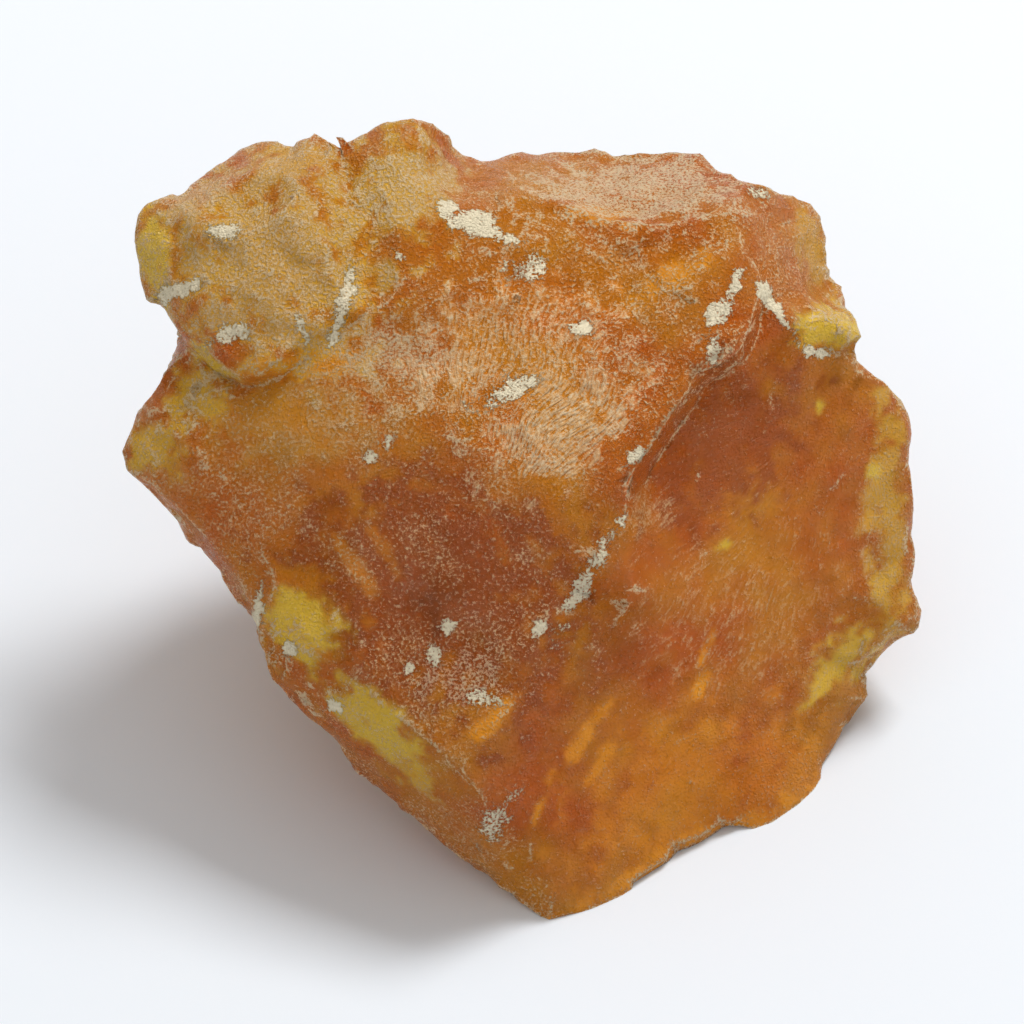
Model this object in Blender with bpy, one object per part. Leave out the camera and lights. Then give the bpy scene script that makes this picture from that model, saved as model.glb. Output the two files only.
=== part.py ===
"""A raw lump of amber, broken on every side, lying on the break face that it rests on.

The lump is drawn on the plane of its broad upper face. A corner is (across, up, out) in millimetres: across and
up lie in that plane, and out stands proud of it. The plane leans back so that the face looks up and to the front.
The rim is the line where the upper side turns into the under side. Crests are the sharp lines that break faces
meet on, and spots are heights inside a face. The under side is drawn in plain x, y and z, also in millimetres.
"""

import math
import random

import bmesh
import bpy
from mathutils import Matrix, Vector, kdtree, noise
from mathutils.geometry import delaunay_2d_cdt

MM = 0.001

# How the broad face lies: its normal rises this far above the horizontal, and the middle of the
# plan stands this high above the table.
FACE_RISE = math.radians(50.0)
FACE_HEIGHT = 21.5

# How often the cage is divided before the fine relief is worked into it, the number of triangles
# that it is thinned to, and the slice taken off the foot, in millimetres, for a true rest face.
SKIN_LEVELS = 3
TRIANGLES = 8600
REST_CUT = 0.12

# How hard the crests pull against the rounding of the faces between them.
CREST_CREASE = 0.95

# The corner lies on the table: its out is worked out from that.
REST = None

# The rim, clockwise as seen from above the broad face, in stretches between its main corners.
RIM = {
    "peak": [(-5.75, 22.75, -4.0), (-4.95, 22.2, -5.0), (-3.85, 21.05, -7.0)],
    "back_saddle": [
        (-1.85, 20.8, -9.5), (1.55, 20.95, -11.0), (4.4, 21.0, -11.8), (6.4, 20.95, -12.0),
        (7.5, 21.25, -11.8), (9.0, 21.05, -11.3), (10.85, 20.6, -10.6), (12.15, 19.9, -9.6),
    ],
    "right_shoulder": [
        (13.7, 19.3, -7.5), (15.1, 19.15, -7.2), (16.15, 18.4, -8.6), (17.5, 17.75, -10.2),
        (18.4, 16.8, -11.5), (18.85, 15.4, -12.2), (18.75, 13.85, -12.0), (18.95, 12.4, -10.6),
    ],
    "honey_nub": [(19.3, 12.05, -8.2), (20.35, 11.0, -7.6), (20.6, 10.2, -7.8), (20.45, 9.55, -8.3)],
    "steep_face_side": [
        (20.8, 8.95, -8.8), (21.6, 8.2, -9.2), (22.35, 7.15, -9.8), (23.15, 5.2, -10.8),
        (23.5, 2.0, -12.0), (23.8, -2.2, -13.6), (23.85, -4.6, -14.5), (23.8, -6.4, -14.7),
        (23.4, -7.9, -14.9), (22.45, -9.1, -15.0), (21.45, -9.6, -15.3), (21.0, -10.7, -15.6),
        (20.55, -11.8, -15.8), (19.5, -13.4, -15.9), (18.55, -14.85, -15.3),
    ],
    "rest_edge": [
        (18.3, -16.1, REST), (16.6, -17.85, REST), (15.0, -18.65, REST), (12.6, -19.2, REST),
        (10.2, -20.4, REST), (7.45, -22.2, REST), (5.5, -23.15, REST), (3.25, -23.9, REST),
    ],
    "toe": [(2.3, -24.05, REST), (1.35, -23.75, REST)],
    "undercut_edge": [
        (0.1, -22.6, -8.2), (-1.4, -21.4, -8.3), (-3.0, -20.1, -8.1), (-5.3, -17.95, -7.8),
        (-6.8, -16.75, -7.6), (-8.35, -15.35, -7.4), (-9.95, -13.6, -7.2), (-11.7, -12.05, -6.8),
        (-13.05, -10.7, -6.0), (-14.0, -9.1, -5.2), (-14.75, -7.6, -4.6), (-15.05, -6.3, -4.6),
    ],
    "hanging_skirt": [
        (-15.75, -5.4, -7.0), (-16.65, -4.45, -7.6), (-17.1, -3.4, -7.4), (-17.8, -2.65, -7.2),
        (-18.9, -1.3, -7.0), (-20.1, 0.3, -6.4), (-21.2, 1.55, -5.8),
    ],
    "left_toe": [(-22.4, 2.6, -5.4), (-22.75, 3.5, -5.2), (-22.3, 4.8, -5.0), (-21.5, 5.75, -4.8)],
    "left_bay": [
        (-20.75, 7.6, -4.6), (-20.35, 8.85, -4.5), (-19.7, 10.25, -4.2), (-19.8, 10.85, -4.0),
        (-20.35, 11.65, -4.2), (-20.9, 12.45, -4.6),
    ],
    "left_nub": [
        (-21.7, 13.4, -5.2), (-21.95, 14.65, -5.6), (-21.95, 16.15, -5.8), (-21.75, 17.25, -5.9),
        (-21.25, 17.95, -6.0),
    ],
    "grey_shelf": [
        (-20.4, 18.25, -6.4), (-19.3, 18.9, -7.0), (-18.2, 19.65, -7.4), (-16.95, 20.4, -7.8),
        (-15.5, 21.4, -8.0), (-14.6, 21.7, -7.8), (-13.3, 21.5, -6.8),
    ],
    "back_knob": [
        (-12.45, 21.95, -5.6), (-11.5, 22.05, -5.6), (-10.6, 21.65, -5.2), (-10.1, 21.0, -4.4),
        (-9.0, 21.85, -4.4), (-7.45, 22.45, -4.2),
    ],
}

# The sharp lines of the upper side.
CRESTS = {
    "middle_ridge": [
        (14.3, 12.7, -1.9), (13.85, 10.85, -1.5), (13.1, 9.3, -1.1), (11.8, 8.7, -0.5), (10.75, 8.2, -0.1),
        (10.45, 7.15, 0.1), (9.25, 5.75, 0.4), (8.45, 4.35, 0.7), (7.2, 2.45, 0.8), (6.35, 1.65, 0.6),
        (6.6, 0.05, 0.0), (6.0, -2.45, -0.7), (6.35, -3.65, -1.4), (5.5, -5.05, -1.9), (3.95, -6.35, -1.9),
        (2.45, -7.75, -1.6), (1.45, -8.8, -1.3), (0.5, -10.35, -1.1), (0.0, -11.4, -1.0), (-1.0, -12.45, -0.9),
        (-2.7, -14.3, -0.8),
    ],
    "ridge_foot": [
        (14.75, 12.3, -3.0), (14.4, 10.6, -3.2), (13.6, 8.8, -3.2), (12.2, 8.1, -2.9), (11.3, 7.6, -2.7),
        (10.95, 6.8, -2.5), (9.8, 5.35, -2.2), (9.0, 3.95, -2.1), (7.8, 2.1, -1.9), (7.1, 1.0, -1.4),
    ],
    "ledge_groove": [
        (6.0, 1.0, 0.4), (4.3, 0.1, 0.2), (4.6, -2.1, 0.0), (3.5, -3.5, -0.2), (2.55, -4.6, -0.4),
        (2.1, -6.0, -0.5), (1.6, -7.25, -0.6), (0.6, -9.2, -0.7),
    ],
    "broad_face_fold": [
        (-10.2, 1.0, -0.6), (-9.1, 2.1, -0.3), (-7.25, 3.95, 0.0), (-4.4, 5.25, 0.4), (-3.2, 4.2, 0.6),
        (-1.3, 2.6, 0.8), (0.5, 1.55, 0.8), (2.8, 0.75, 0.8), (4.3, 0.1, 0.2),
    ],
    "upper_seam": [
        (-4.4, 5.25, 0.4), (-2.45, 5.85, 0.3), (-0.5, 7.1, 0.1), (1.8, 8.0, 0.3),
    ],
    "plateau_arc": [
        (-0.9, 18.9, -4.2), (0.95, 18.45, -3.4), (3.15, 18.0, -2.8), (5.2, 17.25, -2.3), (7.2, 16.75, -2.0),
        (9.35, 16.75, -2.1), (11.1, 17.2, -2.7), (12.65, 18.0, -3.8), (13.7, 19.3, -7.5),
    ],
    "valley_lip": [
        (3.8, 15.05, -1.1), (4.25, 16.15, -1.8), (5.8, 15.8, -1.7), (7.45, 16.0, -1.8), (9.05, 15.8, -1.9),
        (10.3, 15.5, -1.9),
    ],
    "valley_sides": [(3.8, 15.05, -1.1), (4.9, 13.8, -1.0), (5.8, 12.9, -1.1), (8.15, 14.5, -1.5), (10.3, 15.5, -1.9)],
    "groove_band": [
        (6.0, 11.9, -0.1), (7.45, 11.8, 0.0), (9.2, 12.6, -0.2), (10.9, 13.8, -0.7), (12.3, 15.0, -1.5),
        (13.1, 15.9, -2.6),
    ],
    "shoulder_line": [
        (13.7, 19.3, -7.5), (14.4, 17.8, -4.8), (13.65, 17.3, -3.8), (13.1, 15.9, -2.6), (13.6, 14.3, -2.2),
        (14.3, 12.7, -1.9),
    ],
    "steep_face_top": [
        (14.3, 12.7, -1.9), (15.6, 11.5, -3.2), (16.75, 10.0, -4.6), (18.8, 9.3, -6.4), (20.8, 8.95, -8.8),
    ],
    "peak_edge": [(-5.75, 22.75, -4.0), (-4.9, 20.8, -2.8), (-4.35, 19.0, -2.2), (-4.0, 17.6, -1.2)],
    "chalk_seam": [(-4.75, 17.45, -0.9), (-3.3, 17.2, -1.2), (-1.85, 16.5, -1.2), (0.0, 15.8, -1.0), (1.1, 15.5, -0.9)],
    "slab_lip": [
        (-20.35, 11.65, -4.2), (-18.6, 10.1, -2.0), (-17.1, 9.0, -0.9), (-15.85, 7.95, -0.2), (-14.6, 8.2, 0.3),
        (-13.6, 9.0, 0.7), (-12.6, 10.0, 0.8),
    ],
    "slab_foot": [
        (-19.7, 10.25, -4.2), (-18.2, 8.9, -3.2), (-16.9, 8.0, -2.4), (-15.7, 7.2, -1.6), (-14.2, 7.5, -1.2),
        (-12.9, 8.3, -0.6), (-11.6, 9.5, 0.0),
    ],
    "slab_crack": [
        (-10.1, 21.0, -4.4), (-9.7, 18.4, -1.5), (-9.0, 16.4, -0.4), (-8.6, 14.0, 0.0), (-8.3, 11.6, 0.0),
    ],
    "slab_bevel": [
        (-18.7, 16.5, -2.9), (-16.8, 16.8, -1.7), (-15.2, 17.4, -1.1), (-13.8, 18.1, -0.9), (-12.0, 19.2, -1.1),
        (-10.5, 19.9, -2.2),
    ],
    "slab_break": [
        (-13.8, 18.1, -0.9), (-12.2, 16.8, 0.1), (-10.8, 15.7, 0.7), (-10.0, 13.8, 0.9), (-9.8, 12.2, 0.8),
        (-10.8, 11.0, 0.9),
    ],
    "slab_step": [(-17.6, 13.9, -1.7), (-16.2, 12.9, -0.2), (-14.4, 12.6, 0.5), (-12.9, 11.2, 0.8)],
    "grey_shelf_edge": [
        (-13.3, 21.5, -6.8), (-14.6, 20.1, -3.9), (-16.45, 18.95, -3.6), (-19.0, 17.75, -3.8), (-21.25, 17.95, -6.0),
    ],
    "nub_groove": [(-19.4, 17.4, -4.0), (-19.5, 15.6, -3.6), (-19.4, 13.8, -3.4), (-20.9, 12.45, -4.6)],
    "square_face": [
        (-17.55, 7.3, -2.0), (-16.6, 7.0, -1.5), (-15.0, 5.8, -1.0), (-13.2, 4.4, -0.6), (-12.1, 2.7, -0.9),
        (-13.2, 1.1, -1.4), (-14.4, -0.7, -2.0), (-14.6, -2.0, -2.4), (-16.05, -2.1, -3.0), (-17.8, -0.7, -3.0),
        (-19.05, 1.4, -2.7), (-19.25, 2.7, -2.6), (-18.9, 4.75, -2.3), (-17.95, 6.15, -2.2), (-17.55, 7.3, -2.0),
    ],
    "skirt_edge": [
        (-22.4, 2.6, -5.4), (-20.3, 1.2, -3.6), (-18.9, -0.5, -3.6), (-17.2, -2.1, -3.8), (-15.7, -3.6, -4.0),
        (-15.2, -5.1, -4.2), (-15.05, -6.3, -4.6),
    ],
    "notch": [
        (-14.6, -2.0, -2.4), (-14.0, -3.8, -3.0), (-12.1, -3.7, -2.5), (-10.3, -3.5, -2.1), (-9.6, -1.9, -1.6),
        (-10.2, -0.4, -1.0), (-12.1, 0.0, -1.5), (-13.2, 1.1, -1.4),
    ],
    "yellow_zone_top": [
        (-10.3, -3.5, -2.1), (-11.8, -5.6, -2.4), (-10.3, -8.4, -2.3), (-8.6, -10.3, -2.0), (-6.85, -11.5, -1.7),
        (-5.8, -12.75, -1.5), (-4.05, -14.0, -1.2), (-2.7, -15.2, -1.2), (-1.6, -16.8, -2.1), (-1.4, -17.7, -2.8),
    ],
    "undercut_crest": [
        (-13.05, -10.7, -6.0), (-11.8, -11.3, -4.3), (-9.7, -12.05, -3.6), (-7.7, -12.9, -3.1), (-6.1, -13.85, -2.8),
        (-4.75, -14.95, -2.6), (-3.65, -16.0, -2.8), (-2.0, -18.0, -3.7), (-1.3, -19.3, -4.8), (-0.3, -20.3, -5.6),
        (1.2, -20.9, -6.2), (2.2, -21.8, -6.8), (2.3, -24.05, REST),
    ],
}

# Heights inside the upper break faces.
SPOTS = {
    "broad_face": [(-6.5, -0.5, -0.5), (-8.5, -5.5, -1.1), (-3.0, -3.5, -0.2), (-5.0, -9.0, -1.2), (1.0, -2.2, 0.2)],
    "upper_face": [
        (-0.7, 11.2, 0.2), (2.8, 12.0, 0.1), (5.1, 8.8, 0.5), (-3.6, 10.0, 0.1), (-6.5, 8.25, -0.1),
        (-10.0, 5.35, -0.3), (-12.3, 6.3, -0.4), (4.0, 4.6, 0.9), (-6.2, 13.2, 0.2), (1.0, 13.6, -0.2),
    ],
    "slab": [
        (-12.2, 14.2, 0.2), (-15.2, 15.0, -0.7), (-17.6, 12.0, -0.8), (-17.9, 15.4, -2.4), (-14.6, 10.4, 0.3),
    ],
    "peak_lump": [(-7.6, 19.2, -1.2), (-6.6, 20.9, -2.4), (-6.3, 16.4, 0.2)],
    "back_slope": [(-2.6, 19.0, -5.2), (0.2, 19.9, -7.8), (-3.0, 18.2, -3.0)],
    "plateau": [(4.2, 19.4, -8.2), (7.6, 18.9, -7.4), (10.4, 19.0, -7.4)],
    "valley": [(6.3, 14.8, -1.9), (7.6, 15.2, -2.1)],
    "golden_wall": [(4.3, 17.0, -2.6), (2.2, 16.5, -1.6)],
    "groove": [(8.2, 13.0, -1.2), (10.2, 14.3, -1.9), (11.8, 15.6, -2.7)],
    "dark_facet": [(12.8, 12.2, -1.4), (12.0, 10.4, -0.5)],
    "right_lobe": [(15.9, 15.4, -5.4), (16.4, 13.2, -6.0)],
    "honey_nub": [(17.3, 11.3, -4.4), (18.8, 11.4, -5.2), (19.5, 10.2, -6.0), (17.8, 12.5, -7.4), (16.5, 12.5, -6.2)],
    "steep_face": [
        (17.0, 4.0, -6.9), (12.0, 2.0, -4.2), (19.0, -3.0, -10.4), (12.0, -6.0, -7.0), (8.4, 0.2, -2.6),
        (8.6, -1.6, -3.1), (14.0, -12.5, -10.6), (8.0, -12.5, -7.0), (4.0, -16.5, -5.8), (20.2, 2.2, -9.4),
        (6.5, -9.0, -4.7), (1.5, -14.0, -3.1), (0.5, -18.0, -3.9),
    ],
    "olive_pit": [(-18.9, 6.1, -3.8), (-18.6, 7.9, -3.5), (-20.3, 6.6, -3.9)],
    "left_toe": [(-21.05, 3.6, -3.9), (-20.1, 5.0, -3.3)],
    "yellow_zone": [(-13.6, -7.0, -3.4), (-12.0, -9.6, -3.2), (-9.9, -10.8, -2.9)],
    "undercut_side": [(-9.0, -13.7, -5.4), (-5.4, -16.3, -5.2), (-2.6, -19.4, -6.2)],
    "nub": [(-20.7, 15.4, -4.3)],
}

# The under side, in x, y and z. Its first loop is the flat break face that the lump rests on.
REST_FACE = [(-9.2, 2.6, 0.0), (-9.6, 9.5, 0.0), (-5.0, 15.2, 0.0), (7.0, 17.2, 0.0), (15.5, 13.4, 0.0), (19.6, 5.4, 0.0)]
UNDER_CRESTS = {
    "left_keel": [(-9.2, 2.6, 0.0), (-13.0, 4.4, 6.0), (-17.6, 5.6, 13.2)],
    "back_left_edge": [(-9.6, 9.5, 0.0), (-14.2, 14.2, 7.5), (-16.6, 17.4, 15.5), (-17.4, 18.8, 22.5)],
    "back_edge": [(-5.0, 15.2, 0.0), (-4.2, 20.4, 9.0), (-3.0, 21.8, 17.5), (-4.2, 21.2, 25.0)],
    "back_right_edge": [(15.5, 13.4, 0.0), (17.8, 16.6, 7.0), (16.2, 20.0, 15.0), (14.2, 20.6, 22.0)],
    "right_edge": [(19.6, 5.4, 0.0), (22.4, 9.8, 7.5), (21.4, 13.8, 15.2)],
}
UNDER_SPOTS = [
    (-12.6, 8.6, 4.4), (-19.2, 10.4, 16.5), (-11.6, 17.6, 11.0), (-10.8, 20.0, 20.5), (6.0, 22.0, 8.0),
    (6.5, 22.6, 17.5), (20.0, 12.0, 5.0), (-13.2, -1.2, 9.4), (-18.0, 2.6, 15.6),
]

# Break faces that a blow left ringed: where it struck (across, up, out), the reach of its rings,
# their pitch and their height.
RINGS = [
    ((12.5, 13.0, -1.0), 11.0, 2.1, 0.07),
    ((1.5, 9.5, 2.0), 9.0, 1.7, 0.06),
    ((20.0, 6.0, -8.0), 26.0, 3.4, 0.10),
    ((-12.0, 15.0, 1.0), 9.0, 1.9, 0.05),
    ((-15.5, 4.0, -1.0), 6.0, 1.3, 0.03),
    ((8.0, 22.0, -8.0), 12.0, 2.0, 0.08),
    ((-8.0, -4.0, 0.5), 10.0, 2.6, 0.05),
]

# Shell-shaped bites: centre (across, up, out), radius.
BITES = [
    ((-1.4, 22.4, -0.9), 4.8),
    ((7.2, 24.2, -1.2), 7.5),
    ((-20.4, 7.2, -0.9), 2.9),
    ((-12.4, -1.8, 1.4), 3.0),
    ((-17.4, 21.6, 2.0), 6.4),
]
UNDER_BITES = [
    ((-22.0, 4.0, 6.0), 9.0),
    ((-18.5, 24.5, 17.0), 8.5),
    ((8.0, 36.0, 10.0), 14.5),
    ((25.5, 18.0, 6.0), 8.5),
    ((-13.0, -9.0, -1.0), 7.5),
    ((24.5, 21.0, 21.0), 7.0),
    ((-4.0, 27.0, 24.0), 6.5),
]

# Flat chips struck off some crests and the rim, in millimetres: how far apart, how wide, how deep
# and how tilted.
CHIPPED = ("slab_lip", "slab_crack", "undercut_crest", "grey_shelf_edge", "groove_band", "shoulder_line")
CHIP_PITCH = 3.0
CHIP_RADIUS = (1.0, 2.6)
CHIP_DEPTH = (0.02, 0.16)
CHIP_TILT = 0.14

# Where the break is rough instead of clean: centre (across, up, out), radius, and how much rougher.
ROUGH = [
    ((-17.5, 15.5, -1.5), 6.5, 0.9),
    ((-18.8, 6.5, -3.0), 4.0, 1.4),
    ((8.0, 15.5, -2.0), 6.0, 0.35),
    ((1.0, 15.5, -1.0), 6.0, 0.8),
    ((-7.5, 19.5, -2.0), 4.5, 0.8),
    ((4.5, -4.5, -0.8), 3.5, 0.8),
    ((-12.0, -7.0, -3.0), 5.0, 1.0),
    ((18.4, 11.0, -6.0), 3.0, 0.8),
]

# The break is made of shallow scoops that meet in sharp edges: how wide they are, in millimetres, how
# hollow, how tilted, and how much of them a clean face shows, and a rough or hidden one.
SCOOP_WIDTH = 4.4
SCOOP_HOLLOW = 0.55
SCOOP_TILT = 0.5
SCOOPS_CLEAN = 0.12
SCOOPS_ROUGH = 0.45

# The relief of the break: each height in millimetres, with how fine it runs, in waves to a millimetre.
SWELL = (0.10, 0.22)
GRAIN = (0.10, 0.7)
FINE_GRAIN = (0.05, 1.5)
STEP = (0.05, 0.55)
STEP_BEND = (0.8, 0.35)
CLEAN_BREAK = 0.25

# The relief fades out over this span of heights, so that the foot stays flat.
FOOT_FADE = (0.3, 1.5)

# The vector noise is seeded from the clock unless it gets a seed of its own.
NOISE_SEED = 11

AMBER = {"colour": (0.62, 0.25, 0.05, 1.0), "roughness": 0.35, "ior": 1.54, "transmission": 0.85}


def clear_scene():
    for old in list(bpy.data.objects):
        bpy.data.objects.remove(old)


def lean():
    """The matrix from (across, up, out) to x, y and z, in millimetres."""
    rise_sin = math.sin(FACE_RISE)
    rise_cos = math.cos(FACE_RISE)
    return Matrix((
        (1.0, 0.0, 0.0, 0.0),
        (0.0, rise_sin, -rise_cos, 0.0),
        (0.0, rise_cos, rise_sin, FACE_HEIGHT),
        (0.0, 0.0, 0.0, 1.0),
    ))


def on_plan(corner):
    """The corner as a vector, with a resting one set on the table."""
    across, up, out = corner
    if out is REST:
        out = -(FACE_HEIGHT + up * math.cos(FACE_RISE)) / math.sin(FACE_RISE)
    return Vector((across, up, out))


def rim_loop():
    return [on_plan(corner) for stretch in RIM.values() for corner in stretch]


def triangulate(rim, lines, spots):
    """Triangles between the rim, the crest lines and the spots, as seen square to the plan.

    Returns the corners, the triangles, and the pairs of corners that a crest joins."""
    corners = list(rim)
    edges = []
    for line in lines:
        first = len(corners)
        corners += line
        edges += [(first + i, first + i + 1) for i in range(len(line) - 1)]
    corners += spots
    flat = [corner.xy for corner in corners]
    border = list(range(len(rim)))
    made = delaunay_2d_cdt(flat, edges, [border], 1, 0.02)
    points = []
    for place, sources in zip(made[0], made[3]):
        if sources:
            points.append(corners[sources[0]])
        else:
            points.append(Vector((place.x, place.y, height_between(place, corners, edges))))
    crests = set()
    for pair, sources in zip(made[1], made[4]):
        if sources:
            crests.add(tuple(sorted(pair)))
    return points, made[2], crests


def height_between(place, corners, edges):
    """The height where two lines cross, read off the nearer line."""
    best = None
    for a, b in edges:
        start, end = corners[a], corners[b]
        run = (end - start).xy
        share = max(0.0, min(1.0, (place - start.xy).dot(run) / max(run.length_squared, 1e-9)))
        gap = (place - (start.xy + share * run)).length
        if best is None or gap < best[0]:
            best = (gap, start.z + share * (end.z - start.z))
    return best[1]


def cage():
    """The lump as one closed mesh of plain triangles, in x, y and z, with its crests creased."""
    to_world = lean()
    to_plan = to_world.inverted()
    rim = rim_loop()
    upper_lines = [[on_plan(corner) for corner in line] for line in CRESTS.values()]
    upper_spots = [on_plan(corner) for group in SPOTS.values() for corner in group]

    def plan(corner):
        return to_plan @ Vector(corner)

    rest_starts = [i for i, corner in enumerate(c for s in RIM.values() for c in s) if corner[2] is REST]
    rest_loop = [rim[rest_starts[-1]], *(plan(c) for c in REST_FACE), rim[rest_starts[0]]]
    under_lines = [rest_loop] + [[plan(corner) for corner in line] for line in UNDER_CRESTS.values()]
    under_spots = [plan(corner) for corner in UNDER_SPOTS]

    mesh = bmesh.new()
    crease = mesh.edges.layers.float.new("crease_edge")
    shared = {}

    def vertex(point, on_rim):
        key = tuple(round(v, 3) for v in point)
        if on_rim and key in shared:
            return shared[key]
        made = mesh.verts.new(to_world @ point)
        if on_rim:
            shared[key] = made
        return made

    rim_keys = {tuple(round(v, 3) for v in point) for point in rim}
    sharp = []
    for lines, spots, flip in ((upper_lines, upper_spots, False), (under_lines, under_spots, True)):
        points, triangles, crests = triangulate(rim, lines, spots)
        verts = [vertex(p, tuple(round(v, 3) for v in p) in rim_keys) for p in points]
        for triangle in triangles:
            corners = [verts[i] for i in triangle]
            twin = mesh.faces.get(corners)
            if twin is None:
                mesh.faces.new(reversed(corners) if flip else corners)
            else:
                # Both sides fold flat onto one triangle of the rim here: it has no thickness.
                mesh.faces.remove(twin)
        sharp += [(verts[a], verts[b]) for a, b in crests]
    bmesh.ops.delete(mesh, geom=[edge for edge in mesh.edges if not edge.link_faces], context="EDGES")
    for a, b in sharp:
        edge = mesh.edges.get((a, b)) if a.is_valid and b.is_valid else None
        if edge is not None:
            edge[crease] = CREST_CREASE
    return mesh


def as_object(mesh, name):
    data = bpy.data.meshes.new(name)
    mesh.to_mesh(data)
    mesh.free()
    made = bpy.data.objects.new(name, data)
    bpy.context.scene.collection.objects.link(made)
    return made


def applied(obj):
    """The object's mesh with its modifiers applied, as a bmesh, and the object removed."""
    bpy.context.view_layer.update()
    data = bpy.data.meshes.new_from_object(obj.evaluated_get(bpy.context.evaluated_depsgraph_get()))
    bpy.data.objects.remove(obj)
    mesh = bmesh.new()
    mesh.from_mesh(data)
    bpy.data.meshes.remove(data)
    return mesh


def rounded(mesh):
    """The cage with its faces bowed between the creased crests, in small triangles."""
    obj = as_object(mesh, "cage")
    bow = obj.modifiers.new("bow", "SUBSURF")
    bow.levels = bow.render_levels = SKIN_LEVELS
    mesh = applied(obj)
    bmesh.ops.triangulate(mesh, faces=mesh.faces[:])
    return mesh


def bite(mesh, centre, radius):
    """Takes a ball's bite: what lies inside the ball is pushed out to its far side."""
    for vert in mesh.verts:
        away = vert.co - centre
        if away.length < radius:
            vert.co = centre + away.normalized() * radius


def take_bites(mesh):
    to_world = lean()
    for centre, radius in BITES:
        bite(mesh, to_world @ Vector(centre), radius)
    for centre, radius in UNDER_BITES:
        bite(mesh, Vector(centre), radius)


def chip_crests(mesh):
    """Small flat chips, at random, along the chipped crests and the rim."""
    to_world = lean()
    mesh.verts.ensure_lookup_table()
    tree = kdtree.KDTree(len(mesh.verts))
    for vert in mesh.verts:
        tree.insert(vert.co, vert.index)
    tree.balance()
    chance = random.Random(7)
    lines = [[on_plan(corner) for corner in CRESTS[name]] for name in CHIPPED]
    lines.append(rim_loop())
    for line in lines:
        for start, end in zip(line, line[1:]):
            for step in range(max(1, round((end - start).length / CHIP_PITCH))):
                _, index, _ = tree.find(to_world @ start.lerp(end, chance.random()))
                vert = mesh.verts[index]
                turn = Vector(chance.uniform(-CHIP_TILT, CHIP_TILT) for _ in range(3))
                normal = (vert.normal + turn).normalized()
                point = vert.co - normal * chance.uniform(*CHIP_DEPTH)
                radius = chance.uniform(*CHIP_RADIUS)
                for _, near, far in tree.find_range(point, radius):
                    over = (mesh.verts[near].co - point).dot(normal)
                    if over > 0.0:
                        mesh.verts[near].co -= normal * over * (1.0 - (far / radius) ** 3)


def ring_height(place):
    """How high the rings of the blows stand at a place on the plan."""
    height = 0.0
    for centre, reach, pitch, size in RINGS:
        far = (place - Vector(centre)).length
        if far < reach:
            waver = 0.6 * noise.noise(place * 0.35)
            fade = (1.0 - far / reach) ** 0.5
            height += size * fade * math.sin(math.tau * (far / pitch + waver))
    return height


def scoop_height(place):
    """The height of the scoops at a place: the lowest of the hollows around it."""
    spot = place / SCOOP_WIDTH
    best = None
    for middle in noise.voronoi(spot)[1]:
        away = spot - middle
        tilt = noise.noise_vector(middle * math.tau)
        height = SCOOP_TILT * tilt.dot(away) + SCOOP_HOLLOW * away.length_squared
        best = height if best is None else min(best, height)
    return SCOOP_WIDTH * best


def roughness_at(place):
    """How much rougher than a clean break a place on the plan is."""
    return sum(more * max(0.0, 1.0 - (place - Vector(centre)).length / radius) for centre, radius, more in ROUGH)


def roughen(mesh):
    """Rings, scoops, steps and grain of the break, as heights along each point's normal."""
    to_plan = lean().inverted()
    turn = to_plan.to_3x3()
    mesh.normal_update()
    moves = []
    for vert in mesh.verts:
        place = to_plan @ vert.co
        rough = roughness_at(place)
        hidden = min(1.0, max(0.0, 0.5 - 2.0 * (turn @ vert.normal).z))
        scoops = SCOOPS_CLEAN + (SCOOPS_ROUGH - SCOOPS_CLEAN) * min(1.0, rough + hidden)
        bend = STEP_BEND[0] * noise.noise_vector(vert.co * STEP_BEND[1])
        height = ring_height(place) + scoops * scoop_height(place + bend)
        height += SWELL[0] * noise.noise(vert.co * SWELL[1])
        grain = sum(size * noise.noise(vert.co * fineness) for size, fineness in (GRAIN, FINE_GRAIN))
        height += (CLEAN_BREAK + rough) * (grain + STEP[0] * noise.cell(vert.co * STEP[1] + bend))
        low = (vert.co.z - FOOT_FADE[0]) / (FOOT_FADE[1] - FOOT_FADE[0])
        moves.append(vert.normal * height * min(1.0, max(0.0, low)))
    for vert, move in zip(mesh.verts, moves):
        vert.co += move


def thinned(mesh):
    """The skin with as few triangles as its shape needs."""
    bmesh.ops.triangulate(mesh, faces=mesh.faces[:])
    obj = as_object(mesh, "skin")
    thin = obj.modifiers.new("thin", "DECIMATE")
    thin.ratio = TRIANGLES / len(obj.data.polygons)
    return applied(obj)


def cut_rest_face(mesh):
    """Cuts the foot off square, so that the lump rests on a true plane, and stands it on the table."""
    geometry = mesh.verts[:] + mesh.edges[:] + mesh.faces[:]
    plane = Vector((0.0, 0.0, REST_CUT))
    made = bmesh.ops.bisect_plane(mesh, geom=geometry, plane_co=plane, plane_no=(0, 0, 1), clear_inner=True)
    cut = [item for item in made["geom_cut"] if isinstance(item, bmesh.types.BMEdge)]
    bmesh.ops.contextual_create(mesh, geom=cut)
    bmesh.ops.triangulate(mesh, faces=mesh.faces[:])
    bmesh.ops.recalc_face_normals(mesh, faces=mesh.faces[:])


def centred(mesh):
    """Moves the lump so that the middle of its foot print is the origin, and gives it in metres."""
    low = Vector(min(vert.co[i] for vert in mesh.verts) for i in range(3))
    high = Vector(max(vert.co[i] for vert in mesh.verts) for i in range(3))
    middle = (low + high) / 2
    bmesh.ops.translate(mesh, verts=mesh.verts[:], vec=(-middle.x, -middle.y, -low.z))
    bmesh.ops.scale(mesh, verts=mesh.verts[:], vec=(MM, MM, MM))


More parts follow.
